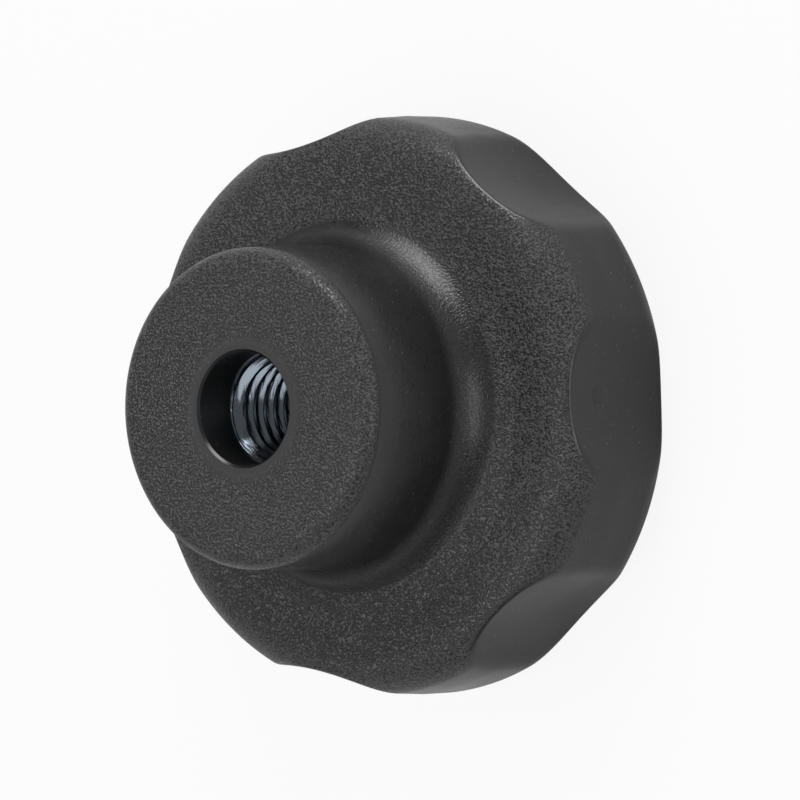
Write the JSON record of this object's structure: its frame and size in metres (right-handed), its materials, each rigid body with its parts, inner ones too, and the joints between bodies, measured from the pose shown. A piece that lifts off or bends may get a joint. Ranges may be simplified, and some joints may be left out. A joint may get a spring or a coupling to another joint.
{
  "type": "star knob nut",
  "caption": "Fluted round grip knob in one moulding with a plain drafted boss, whose bore leads to a blind threaded metal insert.",
  "frame": {"origin": "centre of the crown's flat face, on the thread's axis; the crown rests at Z = 0", "axes": "+Z along the thread's axis, out of the boss; +X through the middle of one flute"},
  "size_m": [0.0619, 0.063, 0.0367],
  "materials": {
    "grip": "black glass-filled nylon, fine spark-eroded grain on the turned faces, satin in the flutes",
    "steel": "bright blue zinc plate over cut threads"
  },
  "bodies": {
    "root": {"knob": "grip", "insert": "steel"}
  },
  "joints": []
}
